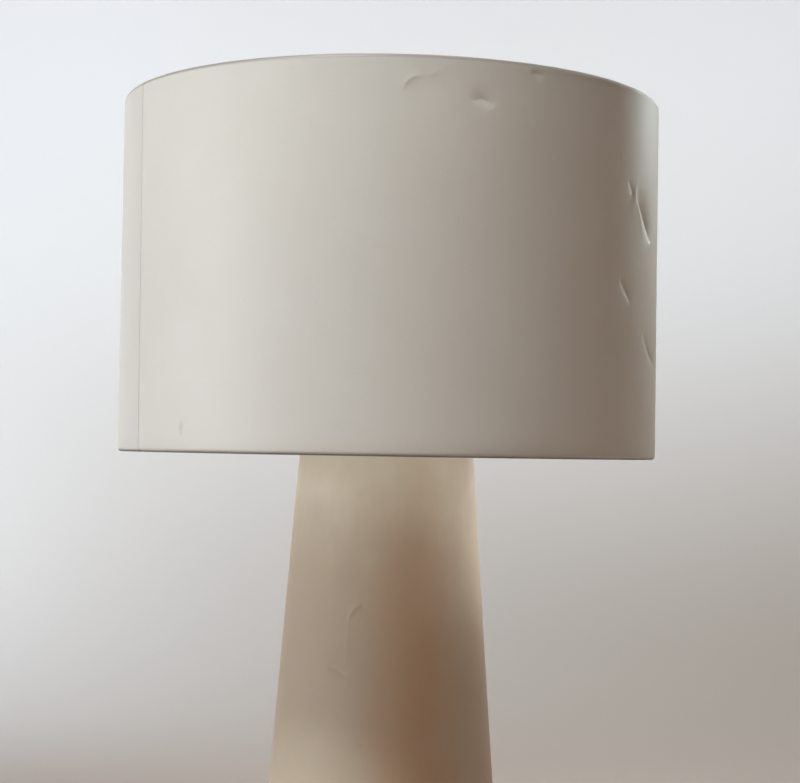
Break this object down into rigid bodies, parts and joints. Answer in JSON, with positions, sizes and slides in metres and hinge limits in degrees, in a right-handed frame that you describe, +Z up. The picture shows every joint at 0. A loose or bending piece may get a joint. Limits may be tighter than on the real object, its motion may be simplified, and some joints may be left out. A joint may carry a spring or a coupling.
{
  "type": "table lamp",
  "caption": "Table lamp with a drum shade of laminated off-white sheet over a tapering column of the same sheet, on a weighted base with a central tube and a screw-in bulb.",
  "frame": {"origin": "on the lamp's axis, at the underside of the felt, on the surface that the lamp stands on", "axes": "+Z up along the lamp's axis; -Y is the front; the lead enters at the back, at +Y"},
  "size_m": [0.4, 0.4, 0.72],
  "materials": {
    "felt": "dense needled felt, matt",
    "cast_iron": "as cast, black enamel, slightly rough",
    "zinc_sheet": "zinc plated sheet, dull",
    "plated_screw": "bright zinc plating",
    "terminal_plastic": "moulded polyamide, satin",
    "brass": "machined, slightly dulled",
    "steel_tube": "zinc plated tube",
    "wire_white": "white powder coat, satin",
    "laminate": "off-white laminated sheet, fine weave outside, satin, slightly yellowed",
    "lead_sheath": "white flexible sheath, satin",
    "holder_plastic": "moulded white thermoplastic, glossy",
    "insert_plastic": "cream heat-proof moulding, matt",
    "fibre": "pressed fibre washer, matt",
    "aluminium": "drawn shell, satin",
    "black_glass": "black insulating bead, glossy",
    "bulb_plastic": "white moulded collar, satin",
    "led_substrate": "white coated board with yellow chips",
    "opal": "opal diffuser, satin"
  },
  "bodies": {
    "base": {"felt_ring": "felt", "base_weight": "cast_iron", "well_cover": "zinc_sheet", "cover_screws": "plated_screw", "terminal_block": "terminal_plastic", "terminal_sleeves": "brass", "terminal_screws": "plated_screw", "block_screw": "plated_screw", "cord_clamp": "terminal_plastic", "clamp_screws": "plated_screw", "cord_bush": "holder_plastic", "lower_nut": "brass", "lower_washer": "zinc_sheet", "lower_nipple": "brass", "center_tube": "steel_tube", "upper_nipple": "brass", "upper_nut": "brass", "foot_ring": "wire_white", "column_top_ring": "wire_white", "frame_lugs": "wire_white", "frame_screws": "plated_screw", "column_spider": "wire_white", "column_cover": "laminate", "inner_lead": "lead_sheath", "lampholder_cap": "holder_plastic", "lampholder_body": "holder_plastic", "lampholder_insert": "insert_plastic", "screw_shell": "brass", "center_contact": "brass", "shell_contact": "brass", "contact_screws": "plated_screw", "shade_seat_ring": "holder_plastic"},
    "shade": {"shade_hub": "wire_white", "shade_arms": "wire_white", "shade_bottom_ring": "wire_white", "shade_top_ring": "wire_white", "shade_cover": "laminate"},
    "ring_washer": {"ring_washer": "fibre"},
    "retaining_ring": {"retaining_ring": "holder_plastic"},
    "switch_bar": {"switch_bar": "holder_plastic"},
    "bulb_rising": {"bulb_tip": "aluminium", "bulb_insulator": "black_glass", "bulb_cap": "aluminium"},
    "bulb_turning": {"bulb_collar": "bulb_plastic", "led_board": "led_substrate", "bulb_globe": "opal"}
  },
  "joints": [
    {"name": "switch_push", "type": "slide", "parent": "base", "child": "switch_bar", "axis": [1, 0, 0], "range_m": [0, 0.006]},
    {"name": "shade_swivel", "type": "hinge", "parent": "base", "child": "shade", "pos_m": [0, 0, 0.516], "axis": [0, 0, 1], "continuous": true},
    {"name": "washer_rise", "type": "slide", "parent": "base", "child": "ring_washer", "axis": [0, 0, 1], "range_m": [0, 0.0075]},
    {"name": "ring_turn", "type": "hinge", "parent": "ring_washer", "child": "retaining_ring", "pos_m": [0, 0, 0.52], "axis": [0, 0, 1], "range_deg": [0, 1080.01]},
    {"name": "bulb_rise", "type": "slide", "parent": "base", "child": "bulb_rising", "axis": [0, 0, 1], "range_m": [0, 0.01448]},
    {"name": "bulb_turn", "type": "hinge", "parent": "bulb_rising", "child": "bulb_turning", "pos_m": [0, 0, 0.56], "axis": [0, 0, 1], "range_deg": [0, 1440.01]}
  ],
  "couplings": [
    {"joint": "ring_turn", "follows": "washer_rise", "rad_per_m": 2513.3},
    {"joint": "bulb_turn", "follows": "bulb_rise", "rad_per_m": 1735.7}
  ]
}
